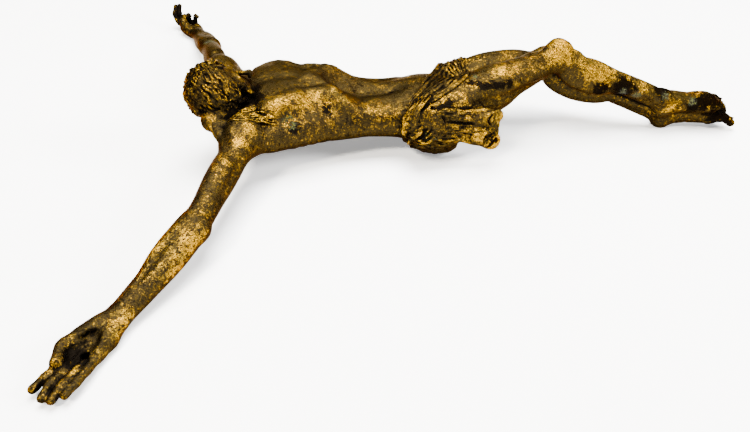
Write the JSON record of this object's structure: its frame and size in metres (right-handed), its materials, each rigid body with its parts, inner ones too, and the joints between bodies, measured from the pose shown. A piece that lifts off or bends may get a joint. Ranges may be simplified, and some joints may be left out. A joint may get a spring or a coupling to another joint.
{
  "type": "crucifix corpus figure",
  "caption": "Gilt bronze corpus figure for a crucifix, lying on its back: arms spread, head dropped, knees bent, right foot over left, loincloth knotted on the hip.",
  "frame": {"origin": "on the flat under the hips, on the plane that the hips, the backs of both hands and the left heel rest on", "axes": "+X from the head to the feet, +Y to the figure's own left, +Z out of its chest"},
  "size_m": [0.298, 0.277, 0.0463],
  "materials": {
    "gilt_bronze": "fire-gilt cast bronze, the gilding worn, with dark brown patina and grey-green verdigris in the hollows"
  },
  "bodies": {
    "root": {"corpus_figure": "gilt_bronze"}
  },
  "joints": []
}
